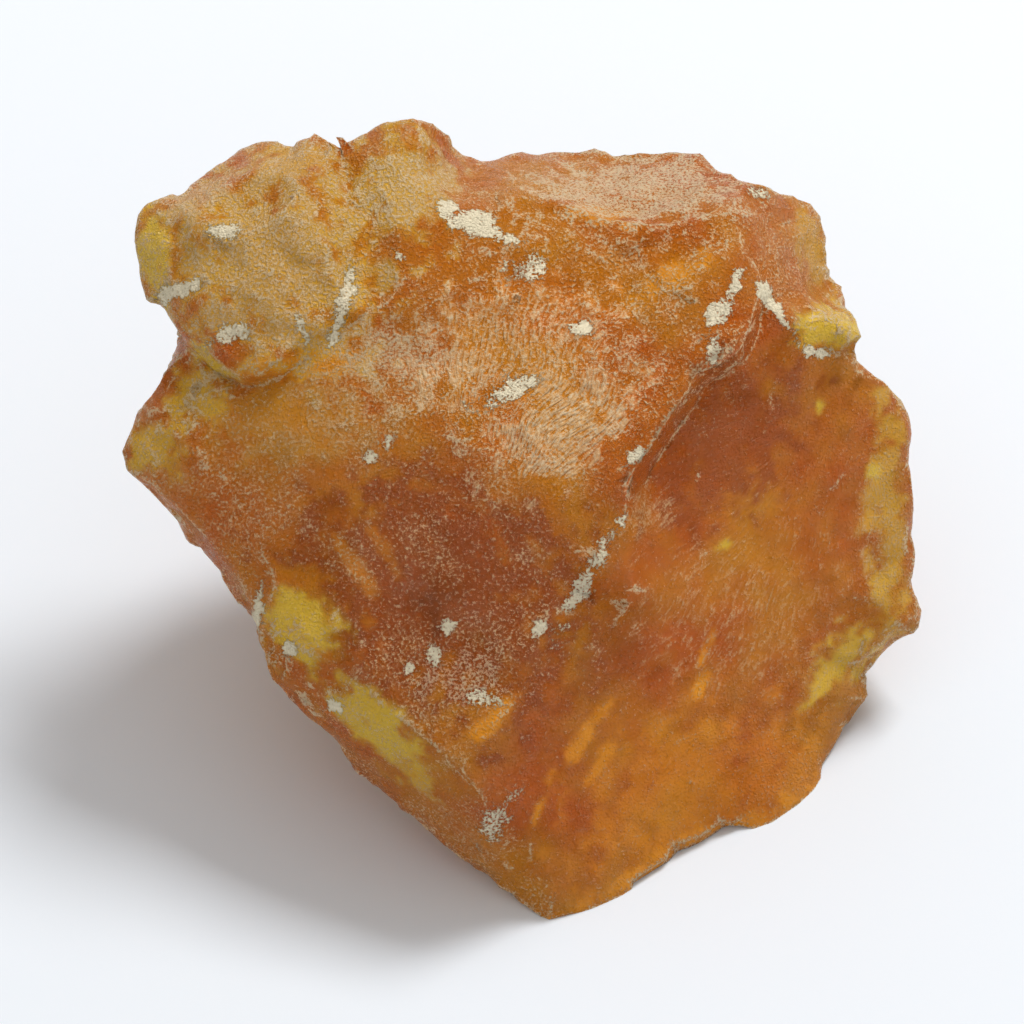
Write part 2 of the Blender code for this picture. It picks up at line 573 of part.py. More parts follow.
def amber_material():
    made = bpy.data.materials.new("amber")
    made.use_nodes = True
    shader = made.node_tree.nodes["Principled BSDF"]
    shader.inputs["Base Color"].default_value = AMBER["colour"]
    shader.inputs["Roughness"].default_value = AMBER["roughness"]
    shader.inputs["IOR"].default_value = AMBER["ior"]
    shader.inputs["Transmission Weight"].default_value = AMBER["transmission"]
    return made


def main():
    clear_scene()
    noise.seed_set(NOISE_SEED)
    mesh = rounded(cage())
    take_bites(mesh)
    chip_crests(mesh)
    roughen(mesh)
    mesh = thinned(mesh)
    cut_rest_face(mesh)
    centred(mesh)
    lump = as_object(mesh, "amber_lump")
    lump.data.materials.append(amber_material())
    lump.data.shade_smooth()
    lump.data.set_sharp_from_angle(angle=math.radians(25))


main()
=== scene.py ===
"""The looks of a raw lump of clear amber on a pale table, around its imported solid.

The marks are placed on the plan of the lump's broad upper face: across, up, and out of it.
"""

import logging
import math
from dataclasses import dataclass, field
from enum import Enum

import bmesh
import bpy
from mathutils import Matrix, Vector, noise

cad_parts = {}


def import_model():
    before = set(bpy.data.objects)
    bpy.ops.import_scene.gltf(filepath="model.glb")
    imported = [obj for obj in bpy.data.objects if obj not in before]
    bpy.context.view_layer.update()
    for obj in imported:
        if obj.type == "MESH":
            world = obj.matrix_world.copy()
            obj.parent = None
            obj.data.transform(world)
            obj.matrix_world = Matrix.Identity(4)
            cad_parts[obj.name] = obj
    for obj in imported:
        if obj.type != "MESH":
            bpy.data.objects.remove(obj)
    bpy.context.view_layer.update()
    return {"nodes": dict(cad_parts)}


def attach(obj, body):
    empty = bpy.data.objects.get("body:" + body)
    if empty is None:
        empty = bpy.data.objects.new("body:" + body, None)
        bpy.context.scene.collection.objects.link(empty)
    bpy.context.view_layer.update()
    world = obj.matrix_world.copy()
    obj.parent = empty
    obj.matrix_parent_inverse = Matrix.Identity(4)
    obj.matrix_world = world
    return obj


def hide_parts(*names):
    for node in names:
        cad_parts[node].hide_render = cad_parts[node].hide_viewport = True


log = logging.getLogger("amber")

Tree = bpy.types.NodeTree
Socket = bpy.types.NodeSocket
Span = tuple[float, float]
Rgba = tuple[float, float, float, float]

MM = 0.001
LUMP_NODE = "amber_lump"
STREAK = "streak"

# The vector noise is seeded from the clock unless it gets a seed of its own.
NOISE_SEED = 11

# The broad upper face: its normal rises this far above the horizontal, and this is the middle of
# its plan in the part's frame.
FACE_RISE_DEG = 50.0
PLAN_CENTRE_MM = (-0.68, -5.39, 21.38)


def linear(hex_colour: str) -> Rgba:
    """Turns an sRGB colour into the linear one that shaders take.

    Args:
        hex_colour: Six hex digits, such as "C87A2E".

    Returns:
        Red, green, blue and alpha, from 0 to 1.
    """
    shares = [int(hex_colour[i : i + 2], 16) / 255 for i in (0, 2, 4)]
    lit = [s / 12.92 if s <= 0.04045 else ((s + 0.055) / 1.055) ** 2.4 for s in shares]
    return (lit[0], lit[1], lit[2], 1.0)


def plan_to_frame() -> Matrix:
    """Gives the turn from the broad face's plan to the part's frame.

    Returns:
        The matrix from a plan point to a frame point, both in millimetres.
    """
    rise = math.radians(FACE_RISE_DEG)
    rows = ((1, 0, 0), (0, math.sin(rise), -math.cos(rise)), (0, math.cos(rise), math.sin(rise)))
    return Matrix.Translation(PLAN_CENTRE_MM) @ Matrix(rows).to_4x4()


class Mark(Enum):
    """What a patch of the surface shows. Each is a painted attribute of the lump's mesh.

    CHALK is thick pale crust, and the dust mark a thin scatter of it that is partly painted glints: pale
    specks that stand for light caught by the grain. The frost mark is the fine steps of the break, and its
    pale colour is partly painted sheen and glints where the steps would catch the light; HACKLE says where
    they run in lines. HONEY is thin yellow amber. The glow mark is painted light: bright orange for light
    that shines out of flaws inside. The deep mark is thick dark amber and partly painted shade on the
    steep face beside the ridge, and CLOUD the slow change from dark to light in the rest.
    """

    CHALK = "chalk"
    HONEY = "honey"
    FROST_AND_SHEEN = "frost_and_sheen"
    DEEP = "deep_and_shade"
    GLOW = "painted_glow"
    DUST_AND_GLINTS = "dust_and_glints"
    CLOUD = "cloud"
    HACKLE = "hackle"


@dataclass(frozen=True)
class Patch:
    """A patch of a mark, as an oval on the broad face's plan, in millimetres.

    Attributes:
        across: Its middle, to the right of the plan's centre.
        up: Its middle, above the plan's centre.
        half_length: Half its length.
        half_width: Half its width.
        turn_deg: How far its length is turned up from the horizontal.
        strength: How much of the mark it holds at its middle.
        ragged: How far its edge wanders, as a share of its size.
        fade: Between which shares of its size the mark fades in.
        reach: Past how many times its half length and half width it never shows.
    """

    across: float
    up: float
    half_length: float
    half_width: float
    turn_deg: float = 0.0
    strength: float = 1.0
    ragged: float = 0.75
    fade: Span = (1.15, 0.5)
    reach: float = 1.3

    def share(self, place: Vector, wander: float) -> float:
        """Says how much of the mark a point takes from this patch.

        Args:
            place: The point on the plan, in millimetres.
            wander: A smooth noise at the point, from -1 to 1.

        Returns:
            From 0 outside to the patch's strength at its middle.
        """
        right = place.x - self.across
        above = place.y - self.up
        reach = self.reach * (self.half_length + self.half_width)
        if abs(right) > reach or abs(above) > reach:
            return 0.0
        turn = math.radians(self.turn_deg)
        length = (right * math.cos(turn) + above * math.sin(turn)) / self.half_length
        width = (above * math.cos(turn) - right * math.sin(turn)) / self.half_width
        far = math.hypot(length, width) + self.ragged * wander
        return self.strength * smooth_step(*self.fade, far)


def smooth_step(start: float, end: float, value: float) -> float:
    """Eases from 0 at start to 1 at end, which may lie below start."""
    share = min(1.0, max(0.0, (value - start) / (end - start)))
    return share * share * (3.0 - 2.0 * share)


@dataclass(frozen=True)
class ClearAmber:
    """Clear fossil resin, broken and never polished.

    Light goes deep into it and comes back orange, and yellow where it is thin. Its skin is dulled by
    the fine steps of the break, and chalky crust and dust sit on it. The pale frost and dust colours are
    partly painted sheen and glints where the steps would catch the light, the glow colour is painted light
    shining out of flaws inside, and part of the deep colour is painted shade.

    The grain is drawn a little coarser than it is, so that it shows.

    Attributes:
        ior: Amber's index of refraction.
        clearness: How much of the light a bare, clean break lets in.
        body_tint: What the body leaves of white light.
        body_density: How fast it does so, per metre.
        specular: How strongly the skin mirrors, where a half is the plain strength.
        grain_mm: The size of the break's grain.
        grain_detail: How many times finer grain lies on it.
        hackle_detail: The same for the hackles.
        fineness: How much each finer grain weighs against the last.
        spread: The span of a noise that is spread over 0 to 1.
        relief_mm: How high the grain stands.
        crust_share: How high the crust stands, in grains.
        frost_spread: The span of the grain that frost takes.
        crust_edge: How sharp the crust's edges are.
        dust_edge: How sharp the dust's edges are.
        frost_edge: How sharp the frost's edges are.
        lift: How far a full mark lifts a pattern, which shows where it passes this.
        dust_and_glint_share: How much the dust covers, which is partly painted glints.
        frost_and_sheen_share: How much the frost whitens, which is partly painted sheen and glints.
        frost_hides: How much of the light full frost keeps out.
        hides: How much of the light the other marks keep out.
    """

    ior: float = 1.54
    clearness: float = 0.44
    body_tint: str = "F2DD5E"
    body_density: float = 45.0
    specular: float = 0.3
    clean_roughness: float = 0.12
    frost_roughness: float = 0.2
    glow_roughness: float = 0.14
    chalk_roughness: float = 0.85
    skin_dark: str = "F07E0A"
    skin_light: str = "FFAA1C"
    # The deep colour: thick dark amber, and partly painted shade on the steep face beside the ridge.
    deep_and_shade: str = "C8640A"
    # The frost colour: pale break, partly painted sheen and glints.
    frost_and_sheen: str = "E6C498"
    honey: str = "FFD84E"
    # The glow colour is painted light: bright orange for light shining out of flaws inside.
    painted_glow: str = "FFAC24"
    chalk: str = "F8EED4"
    grain_mm: float = 0.17
    grain_detail: float = 2.0
    hackle_detail: float = 1.0
    fineness: float = 0.72
    spread: Span = (0.3, 0.7)
    relief_mm: float = 0.15
    crust_share: float = 0.9
    frost_spread: Span = (0.12, 0.88)
    crust_edge: float = 3.5
    dust_edge: float = 2.2
    frost_edge: float = 1.7
    lift: float = 1.1
    dust_and_glint_share: float = 0.6
    frost_and_sheen_share: float = 0.8
    frost_hides: float = 0.8
    hides: dict[Mark, float] = field(default_factory=lambda: {Mark.HONEY: 0.6, Mark.GLOW: 0.7})

    def material(self) -> bpy.types.Material:
        """Makes the amber's material.

        Returns:
            The material, with one shader for the skin and one for the body.
        """
        made = bpy.data.materials.new("rough_clear_amber")
        made.use_nodes = True
        tree = made.node_tree
        tree.nodes.clear()
        place = add_node(tree, "ShaderNodeTexCoord").outputs["Object"]
        streak = add_node(tree, "ShaderNodeAttribute", attribute_name=STREAK).outputs["Vector"]
        painted = {mark: add_node(tree, "ShaderNodeAttribute", attribute_name=mark.value) for mark in Mark}
        marks = {mark: node.outputs["Fac"] for mark, node in painted.items()}
        grain = self.noise(tree, place, 1 / (self.grain_mm * MM), self.grain_detail)
        hackles = self.noise(tree, streak, 1.0, self.hackle_detail)
        steps = self.number_mix(tree, marks[Mark.HACKLE], grain, hackles)

        crust = self.over(tree, grain, marks[Mark.CHALK], self.crust_edge)
        # The dust: real pale dust, and partly painted glints as fine pale specks.
        dust_and_glints = self.over(tree, grain, marks[Mark.DUST_AND_GLINTS], self.dust_edge)
        white = self.maths(tree, "MAXIMUM", crust, self.maths(tree, "MULTIPLY", dust_and_glints, self.dust_and_glint_share))
        # The frost's pale colour on the grain's peaks is partly painted sheen and glints.
        glints = self.curve(tree, steps, self.frost_spread, (0.0, 1.0))
        frost_and_sheen = self.over(tree, glints, marks[Mark.FROST_AND_SHEEN], self.frost_edge)
        frost_and_sheen = self.maths(tree, "MULTIPLY", frost_and_sheen, self.frost_and_sheen_share)

        colour = self.mix(tree, marks[Mark.CLOUD], linear(self.skin_dark), linear(self.skin_light))
        # The deep colour: thick amber, and partly painted shade beside the ridge.
        colour = self.mix(tree, marks[Mark.DEEP], colour, linear(self.deep_and_shade))
        # The glow colour laid on here is painted light, bright orange for light shining out of flaws.
        colour = self.mix(tree, marks[Mark.GLOW], colour, linear(self.painted_glow))
        colour = self.mix(tree, marks[Mark.HONEY], colour, linear(self.honey))
        # Pale frost laid over the amber: partly painted sheen and glints.
        colour = self.mix(tree, frost_and_sheen, colour, linear(self.frost_and_sheen))
        colour = self.mix(tree, white, colour, linear(self.chalk))

        hidden = self.maths(tree, "MAXIMUM", self.maths(tree, "MULTIPLY", frost_and_sheen, self.frost_hides), white)
        for mark, share in self.hides.items():
            hidden = self.maths(tree, "MAXIMUM", hidden, self.maths(tree, "MULTIPLY", marks[mark], share))
        clear = self.curve(tree, hidden, (0.0, 1.0), (self.clearness, 0.0))

        rough = self.number_mix(tree, frost_and_sheen, self.clean_roughness, self.frost_roughness)
        rough = self.number_mix(tree, marks[Mark.GLOW], rough, self.glow_roughness)
        rough = self.number_mix(tree, white, rough, self.chalk_roughness)

        height = self.maths(tree, "MULTIPLY_ADD", crust, self.crust_share, steps)
        bump = add_node(
            tree,
            "ShaderNodeBump",
            {"Height": height, "Strength": 1.0, "Distance": self.relief_mm * MM},
        ).outputs[0]
        skin = add_node(
            tree,
            "ShaderNodeBsdfPrincipled",
            {
                "Base Color": colour,
                "Roughness": rough,
                "IOR": self.ior,
                "Specular IOR Level": self.specular,
                "Transmission Weight": clear,
                "Normal": bump,
            },
        ).outputs[0]
        body = add_node(
            tree,
            "ShaderNodeVolumeAbsorption",
            {"Color": linear(self.body_tint), "Density": self.body_density},
        ).outputs[0]
        add_node(tree, "ShaderNodeOutputMaterial", {"Surface": skin, "Volume": body})
        return made

    def noise(self, tree: Tree, vector: Socket, scale: float, detail: float) -> Socket:
        """Makes a noise, spread so that it fills 0 to 1."""
        links = {"Vector": vector, "Scale": scale, "Detail": detail, "Roughness": self.fineness}
        made = add_node(tree, "ShaderNodeTexNoise", links)
        return self.curve(tree, made.outputs["Fac"], self.spread, (0.0, 1.0))

    def over(self, tree: Tree, pattern: Socket, mark: Socket, sharpness: float) -> Socket:
        """Shows a pattern's peaks: none of them where the mark is 0, and all of it where it is 1.

        Args:
            tree: The node tree.
            pattern: The pattern, from 0 to 1.
            mark: The painted mark, from 0 to 1.
            sharpness: How steep the pattern's edges are.

        Returns:
            From 0 to 1.
        """
        height = self.maths(tree, "MULTIPLY_ADD", mark, self.lift, pattern)
        half = 0.5 / sharpness
        return self.curve(tree, height, (self.lift - half, self.lift + half), (0.0, 1.0))

    def curve(self, tree: Tree, value: Socket, span: Span, to: Span) -> Socket:
        """Maps a value from one span to another, and holds it there."""
        links = {"Value": value, "From Min": span[0], "From Max": span[1], "To Min": to[0], "To Max": to[1]}
        return add_node(tree, "ShaderNodeMapRange", links).outputs["Result"]

    def maths(self, tree: Tree, operation: str, *values: Socket | float) -> Socket:
        """Works out one sum from sockets and plain numbers."""
        return add_node(tree, "ShaderNodeMath", dict(enumerate(values)), operation=operation).outputs[0]

    def mix(self, tree: Tree, share: Socket, under: Socket | Rgba, over: Rgba) -> Socket:
        """Lays one colour over another."""
        return add_node(tree, "ShaderNodeMix", {0: share, 6: under, 7: over}, data_type="RGBA").outputs[2]

    def number_mix(self, tree: Tree, share: Socket, under: Socket | float, over: Socket | float) -> Socket:
        """Goes from one number to another."""
        return add_node(tree, "ShaderNodeMix", {0: share, 2: under, 3: over}).outputs[0]


def add_node(tree: Tree, kind: str, links: dict | None = None, **settings: object) -> bpy.types.Node:
    """Adds one node with its settings and links.

    Args:
        tree: The node tree that it goes into.
        kind: The node's type, such as "ShaderNodeMix".
        links: Each input's name or number, with the socket or plain value that feeds it.
        settings: The node's own properties.

    Returns:
        The new node.
    """
    made = tree.nodes.new(kind)
    for name, value in settings.items():
        setattr(made, name, value)
    for name, value in (links or {}).items():
        if isinstance(value, Socket):
            tree.links.new(value, made.inputs[name])
        else:
            made.inputs[name].default_value = value
    return made


@dataclass(frozen=True)
class Hackles:
    """The fine lines of the break, which fan out from where a blow struck each face.

    Attributes:
        strike: Where the fan on the steep face starts, on the plan, in millimetres.
        broad_strike: Where the fan on the other faces starts.
        steep_normal: The steep face's normal, on the plan.
        steep_share: How squarely a normal has to face that way to lie on the steep face.
        pitch_mm: How far apart the lines lie.
        run_mm: How long a line runs.
        fan_radius_mm: How far from where a fan starts its lines lie a pitch apart.
        sway_mm: How far a line sways.
        sway_rate: How many times in a millimetre it does.
        meeting: How near the two fans' border the lines fade out, as a share of squareness.
    """

    strike: Span = (20.0, 7.5)
    broad_strike: Span = (-4.5, -5.0)
    steep_normal: tuple[float, float, float] = (0.53, -0.28, 0.80)
    steep_share: float = 0.9
    pitch_mm: float = 0.17
    run_mm: float = 0.8
    fan_radius_mm: float = 12.0
    sway_mm: float = 0.8
    sway_rate: float = 0.25
    meeting: float = 0.07

    def squareness(self, normal: Vector) -> float:
        """Says how squarely a normal faces the way that the steep face does."""
        return normal.dot(Vector(self.steep_normal))

    def fade(self, normal: Vector) -> float:
        """Fades the lines out where the two fans would meet."""
        return smooth_step(0.0, self.meeting, abs(self.squareness(normal) - self.steep_share))

    def along(self, place: Vector, normal: Vector) -> tuple[float, float, float]:
        """Gives where a point lies across and along the lines, in pitches and runs.

        Args:
            place: The point on the plan, in millimetres.
            normal: Its normal on the plan.

        Returns:
            Across, along and out.
        """
        steep = self.squareness(normal) > self.steep_share
        strike = Vector(self.strike if steep else self.broad_strike)
        out = place.xy - strike
        turn = math.atan2(out.x, -out.y) if steep else math.atan2(out.x, out.y)
        across = turn * self.fan_radius_mm + self.sway_mm * noise.noise(place * self.sway_rate)
        return across / self.pitch_mm, out.length / self.run_mm, place.z / self.run_mm


@dataclass(frozen=True)
class BreakRelief:
    """The relief of a break: shallow scoops of random tilt, and ripples.

    Attributes:
        rough_zones: Rough places: across and up on the plan, radius, and how rough.
        zone_fade: Between which shares of its radius a rough place fades in.
        clean_roughness: How rough the faces in front are elsewhere.
        hidden_roughness: How rough the faces behind are.
        front_facing: How squarely a normal faces out of the plan on a face in front.
        rim_facing: How squarely it does at the last that a rough place reaches.
        scoop_mm: How wide the scoops are, coarse and fine.
        tilt: How steeply a scoop is tilted.
        hollow: How deep it is hollowed.
        bend_mm: How far its edges bend.
        bend_rate: How many times in a millimetre they do.
        ripples: Each ripple's height, and how many lie in a millimetre.
    """

    rough_zones: tuple[tuple[float, float, float, float], ...] = (
        (-17.5, 15.0, 7.5, 0.42),
        (-13.0, 12.0, 6.0, 0.35),
        (-18.5, 5.0, 6.0, 0.38),
        (7.5, 15.5, 6.5, 0.40),
        (-6.5, 18.5, 5.0, 0.35),
        (0.0, 15.5, 5.0, 0.25),
        (-11.5, -8.5, 5.5, 0.35),
        (13.5, 14.5, 4.0, 0.30),
        (4.8, -4.0, 3.2, 0.35),
        (18.5, 10.8, 3.0, 0.40),
        (3.0, 6.5, 7.0, 0.14),
    )
    zone_fade: Span = (1.1, 0.4)
    clean_roughness: float = 0.10
    hidden_roughness: float = 0.30
    front_facing: float = 0.3
    rim_facing: float = -0.2
    scoop_mm: Span = (2.1, 0.9)
    tilt: float = 0.55
    hollow: float = 0.35
    bend_mm: float = 0.5
    bend_rate: float = 0.5
    ripples: tuple[Span, Span] = ((0.045, 1.1), (0.035, 2.6))

    def roughness_at(self, place: Vector, facing: float) -> float:
        """Says how rough the break is at a point.

        Args:
            place: The point on the plan, in millimetres.
            facing: How squarely its normal faces out of the plan.

        Returns:
            From 0 for a clean break to about 1.
        """
        rough = self.clean_roughness if facing > self.front_facing else self.hidden_roughness
        if facing <= self.rim_facing:
            return rough
        for across, up, radius, more in self.rough_zones:
            far = math.hypot(place.x - across, place.y - up) / radius
            rough = max(rough, more * smooth_step(*self.zone_fade, far))
        return rough

    def height(self, place: Vector, rough: float) -> float:
        """Gives the height of the relief at a point.

        Args:
            place: The point, in millimetres.
            rough: How rough the break is there.

        Returns:
            The height along the normal, in millimetres.
        """
        warped = place + self.bend_mm * noise.noise_vector(place * self.bend_rate)
        high = sum(height * noise.noise(place * rate) for height, rate in self.ripples)
        return high + rough * sum(pitch * self.scoop(warped / pitch) for pitch in self.scoop_mm)

    def scoop(self, spot: Vector) -> float:
        """Gives the height of a scooped surface of unit pitch: the lowest of the hollows around a spot."""
        heights = []
        for middle in noise.voronoi(spot)[1]:
            away = spot - middle
            tilt = noise.noise_vector(middle * math.tau)
            heights.append(self.tilt * tilt.dot(away) + self.hollow * away.length_squared)
        return min(heights)


@dataclass
class AmberLump:
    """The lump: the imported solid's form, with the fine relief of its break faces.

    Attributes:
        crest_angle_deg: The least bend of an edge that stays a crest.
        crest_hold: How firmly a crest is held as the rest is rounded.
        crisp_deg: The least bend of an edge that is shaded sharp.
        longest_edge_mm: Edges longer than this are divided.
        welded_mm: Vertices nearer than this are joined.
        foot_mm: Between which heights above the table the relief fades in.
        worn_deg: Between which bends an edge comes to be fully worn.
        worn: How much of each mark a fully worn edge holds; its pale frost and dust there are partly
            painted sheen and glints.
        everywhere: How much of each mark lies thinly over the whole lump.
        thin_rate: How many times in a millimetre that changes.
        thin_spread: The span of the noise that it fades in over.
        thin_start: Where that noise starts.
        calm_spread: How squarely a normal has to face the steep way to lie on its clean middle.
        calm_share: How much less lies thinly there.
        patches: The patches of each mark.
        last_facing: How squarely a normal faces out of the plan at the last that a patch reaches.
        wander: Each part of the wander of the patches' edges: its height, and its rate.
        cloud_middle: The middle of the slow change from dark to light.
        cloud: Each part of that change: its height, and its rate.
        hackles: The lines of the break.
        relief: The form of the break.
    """

    crest_angle_deg: float = 22.0
    crest_hold: float = 1.0
    crisp_deg: float = 38.0
    longest_edge_mm: float = 0.5
    welded_mm: float = 0.002
    foot_mm: Span = (0.05, 0.8)
    worn_deg: Span = (12.0, 34.0)
    worn: dict[Mark, float] = field(default_factory=lambda: {Mark.FROST_AND_SHEEN: 0.85, Mark.DUST_AND_GLINTS: 0.55})
    everywhere: dict[Mark, float] = field(default_factory=lambda: {Mark.FROST_AND_SHEEN: 0.4, Mark.DUST_AND_GLINTS: 0.2})
    thin_rate: float = 0.35
    thin_spread: Span = (-0.5, 0.45)
    thin_start: tuple[float, float, float] = (9.0, 4.0, 2.0)
    calm_spread: Span = (0.82, 0.93)
    calm_share: float = 0.75
    patches: dict[Mark, list[Patch]] = field(default_factory=dict)
    last_facing: float = -0.15
    wander: tuple[Span, Span] = ((1.0, 0.9), (0.5, 2.6))
    cloud_middle: float = 0.5
    cloud: tuple[Span, Span] = ((0.9, 0.17), (0.45, 0.6))
    hackles: Hackles = field(default_factory=Hackles)
    relief: BreakRelief = field(default_factory=BreakRelief)

    def build(self, solid: bpy.types.Object) -> bpy.types.Object:
        """Makes the lump's mesh from a copy of the solid's.

        Args:
            solid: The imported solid.

        Returns:
            The finished lump, at the origin.
        """
        data = solid.data.copy()
        data.name = "amber"
        data.materials.clear()
        lump = bpy.data.objects.new("amber", data)
        bpy.context.scene.collection.objects.link(lump)
        self.soften(lump)
        self.roughen(lump)
        self.paint(lump)
        lump.data.materials.append(ClearAmber().material())
        lump.data.shade_smooth()
        lump.data.set_sharp_from_angle(angle=math.radians(self.crisp_deg))
        return lump

    def soften(self, lump: bpy.types.Object) -> None:
        """Rounds the solid's small triangles into even break faces, and keeps its crests.

        Args:
            lump: The copy of the solid, which is changed.
        """
        mesh = bmesh.new()
        mesh.from_mesh(lump.data)
        bmesh.ops.remove_doubles(mesh, verts=mesh.verts[:], dist=self.welded_mm * MM)
        crease = mesh.edges.layers.float.new("crease_edge")
        limit = math.radians(self.crest_angle_deg)
        for edge in mesh.edges:
            if edge.calc_face_angle(0.0) > limit:
                edge[crease] = self.crest_hold
        mesh.to_mesh(lump.data)
        mesh.free()
        divide = lump.modifiers.new("divide", "SUBSURF")
        divide.levels = divide.render_levels = 1
        bpy.context.view_layer.update()
        shaped = bpy.data.meshes.new_from_object(lump.evaluated_get(bpy.context.evaluated_depsgraph_get()))
        lump.modifiers.clear()
        mesh = bmesh.new()
        mesh.from_mesh(shaped)
        bpy.data.meshes.remove(shaped)
        for _ in range(2):
            wide = [edge for edge in mesh.edges if edge.calc_length() > self.longest_edge_mm * MM]
            bmesh.ops.subdivide_edges(mesh, edges=wide, cuts=1, use_grid_fill=True)
        bmesh.ops.triangulate(mesh, faces=[face for face in mesh.faces if len(face.verts) > 4])
        mesh.to_mesh(lump.data)
        mesh.free()

    def roughen(self, lump: bpy.types.Object) -> None:
        """Works the fine relief of the break into the lump, all but its rest face.

        Args:
            lump: The lump, whose mesh is changed.
        """
        to_plan = plan_to_frame().inverted()
        turn = to_plan.to_3x3()
        mesh = bmesh.new()
        mesh.from_mesh(lump.data)
        moves = []
        for vert in mesh.verts:
            place = vert.co / MM
            rough = self.relief.roughness_at(to_plan @ place, (turn @ vert.normal).z)
            high = self.relief.height(place, rough) * smooth_step(*self.foot_mm, place.z)
            moves.append(vert.normal * high * MM)
        for vert, move in zip(mesh.verts, moves):
            vert.co += move
        mesh.to_mesh(lump.data)
        mesh.free()

    def crest_shares(self, lump: bpy.types.Object) -> list[float]:
        """Says how sharp a crest or crease each vertex of the lump stands on, from 0 to 1."""
        mesh = bmesh.new()
        mesh.from_mesh(lump.data)
        low, high = (math.radians(angle) for angle in self.worn_deg)
        shares = []
        for vert in mesh.verts:
            bend = max((edge.calc_face_angle(0.0) for edge in vert.link_edges), default=0.0)
            shares.append(smooth_step(low, high, bend))
        mesh.free()
        return shares

    def paint(self, lump: bpy.types.Object) -> None:
        """Paints the marks and the run of the hackles onto the lump's mesh as attributes.

        Args:
            lump: The lump, whose mesh gains one attribute for each mark, and one for the hackles.
        """
        to_plan = plan_to_frame().inverted()
        turn = to_plan.to_3x3()
        places = [to_plan @ (vert.co / MM) for vert in lump.data.vertices]
        normals = [turn @ vert.normal for vert in lump.data.vertices]
        wanders = [sum(high * noise.noise(place * rate) for high, rate in self.wander) for place in places]
        crests = self.crest_shares(lump)
        for mark in Mark:
            values = [self.mark_share(mark, *vertex) for vertex in zip(places, normals, wanders, crests)]
            painted = lump.data.attributes.new(mark.value, "FLOAT", "POINT")
            painted.data.foreach_set("value", values)
        lines = lump.data.attributes.new(STREAK, "FLOAT_VECTOR", "POINT")
        flat = [v for place, normal in zip(places, normals) for v in self.hackles.along(place, normal)]
        lines.data.foreach_set("vector", flat)

    def mark_share(self, mark: Mark, place: Vector, normal: Vector, wander: float, crest: float) -> float:
        """Says how much of a mark a vertex takes.

        Args:
            mark: The mark.
            place: The vertex on the plan, in millimetres.
            normal: Its normal on the plan.
            wander: A smooth noise there, from about -1 to 1.
            crest: How worn an edge it stands on, from 0 to 1.

        Returns:
            From 0 to 1, and a little past both for the clouds.
        """
        if mark is Mark.CLOUD:
            return sum((high * noise.noise(place * rate) for high, rate in self.cloud), self.cloud_middle)
        share = 0.0
        if normal.z > self.last_facing:
            share = max((patch.share(place, wander) for patch in self.patches.get(mark, [])), default=0.0)
        if mark is Mark.HACKLE:
            share *= self.hackles.fade(normal)
        share = max(share, self.worn.get(mark, 0.0) * crest)
        if mark in self.everywhere:
            share = max(share, self.everywhere[mark] * self.thin_share(place, normal))
        return share

    def thin_share(self, place: Vector, normal: Vector) -> float:
        """Says how much of what lies thinly everywhere lies at a vertex, from 0 to 1."""
        still = smooth_step(*self.calm_spread, self.hackles.squareness(normal))
        spot = place * self.thin_rate + Vector(self.thin_start)
        return (1.0 - self.calm_share * still) * smooth_step(*self.thin_spread, noise.noise(spot))


